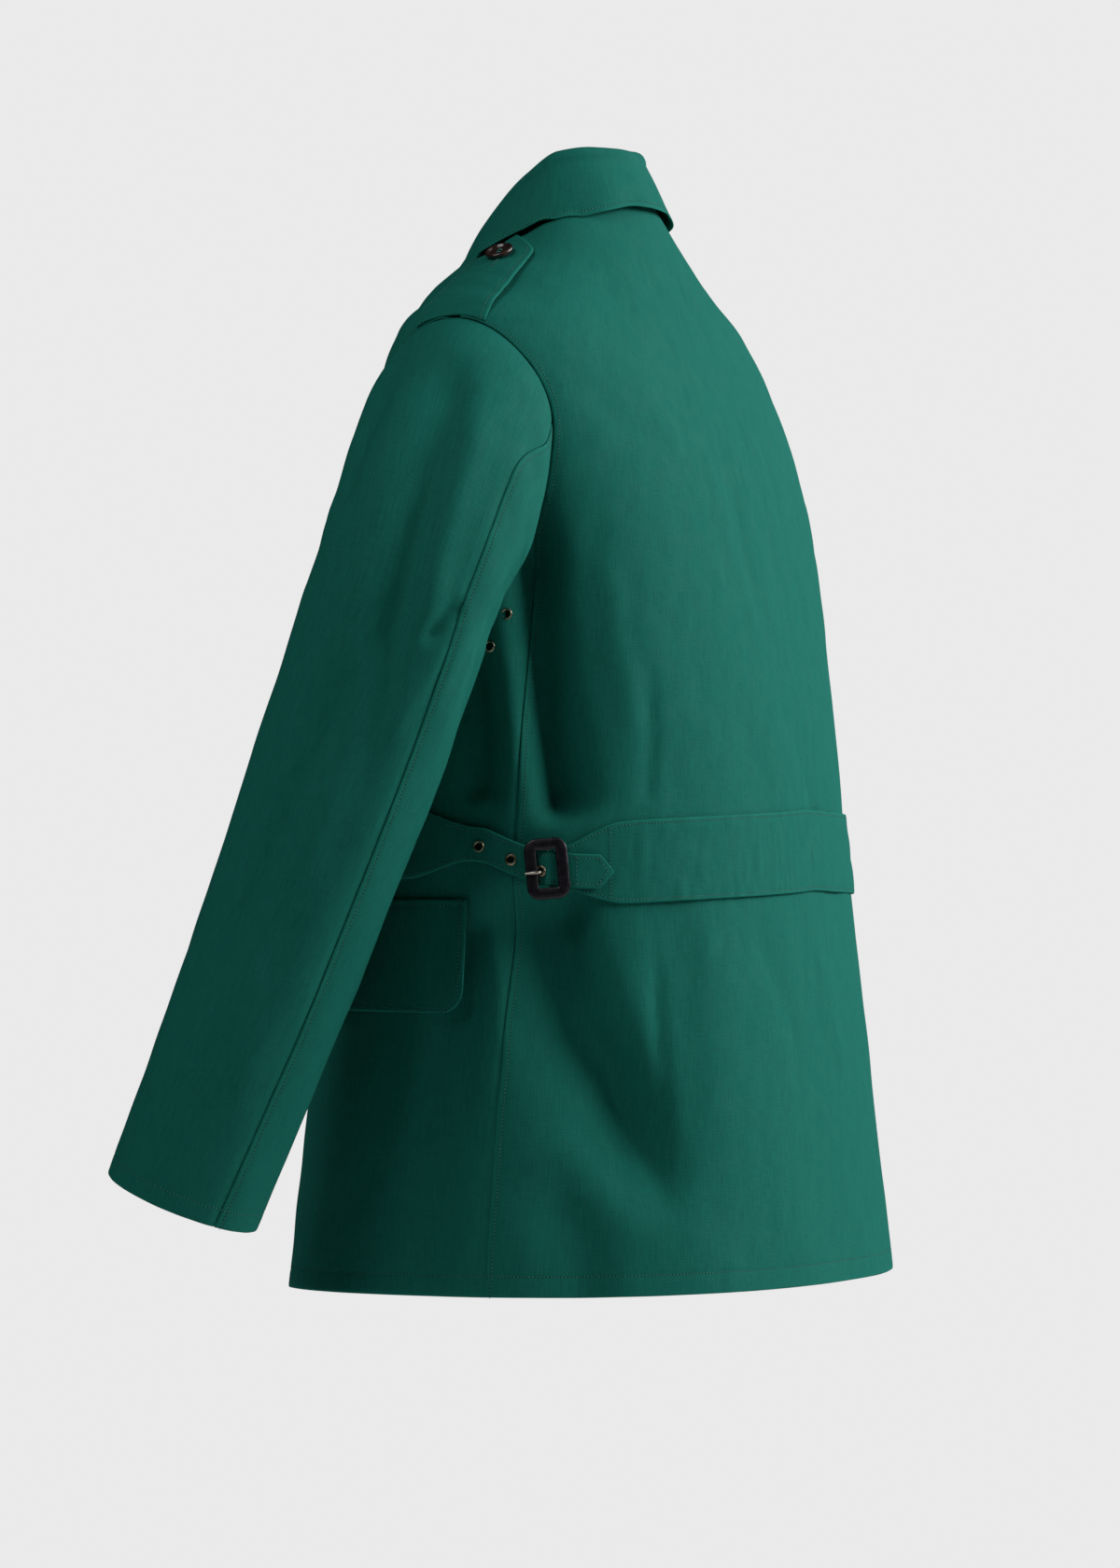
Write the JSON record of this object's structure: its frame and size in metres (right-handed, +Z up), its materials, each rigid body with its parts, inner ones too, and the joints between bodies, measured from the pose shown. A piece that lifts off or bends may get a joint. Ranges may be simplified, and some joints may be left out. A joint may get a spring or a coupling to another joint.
{
  "type": "double-breasted raincoat",
  "caption": "Short double-breasted raincoat in bonded cotton with a turned-down collar, shoulder tabs, half belt with buckled side straps and pocket flaps; hollow, open at neck, hem and cuffs.",
  "frame": {"origin": "midway between the two points where the shoulder seams meet the neck seam", "axes": "+Z up, the fronts face -Y, +X to the wearer's left"},
  "size_m": [0.7486, 0.4155, 0.793],
  "materials": {
    "bonded_cotton": "closely woven green bonded cotton, matt",
    "dark_horn": "polished dark brown horn",
    "black_leather": "smooth black leather, stitched",
    "aged_brass": "aged",
    "pale_metal": "satin"
  },
  "bodies": {
    "root": {"back": "bonded_cotton", "front_left": "bonded_cotton", "front_right": "bonded_cotton", "upper_sleeve_left": "bonded_cotton", "under_sleeve_left": "bonded_cotton", "upper_sleeve_right": "bonded_cotton", "under_sleeve_right": "bonded_cotton", "collar_stand": "bonded_cotton", "collar_fall": "bonded_cotton", "half_belt": "bonded_cotton", "side_strap_left": "bonded_cotton", "pocket_flap_left": "bonded_cotton", "shoulder_tab_left": "bonded_cotton", "buckle_left": "black_leather", "buckle_bar_left": "pale_metal", "prong_left": "pale_metal", "tab_button_left": "dark_horn", "front_button_left_1": "dark_horn", "front_button_left_2": "dark_horn", "front_button_left_3": "dark_horn", "side_strap_right": "bonded_cotton", "pocket_flap_right": "bonded_cotton", "shoulder_tab_right": "bonded_cotton", "buckle_right": "black_leather", "buckle_bar_right": "pale_metal", "prong_right": "pale_metal", "tab_button_right": "dark_horn", "front_button_right_1": "dark_horn", "front_button_right_2": "dark_horn", "front_button_right_3": "dark_horn", "strap_eyelet_left_1": "aged_brass", "strap_eyelet_left_2": "aged_brass", "strap_eyelet_left_3": "aged_brass", "strap_eyelet_right_1": "aged_brass", "strap_eyelet_right_2": "aged_brass", "strap_eyelet_right_3": "aged_brass", "vent_eyelet_left_1": "aged_brass", "vent_eyelet_left_2": "aged_brass", "vent_eyelet_right_1": "aged_brass", "vent_eyelet_right_2": "aged_brass"}
  },
  "joints": []
}
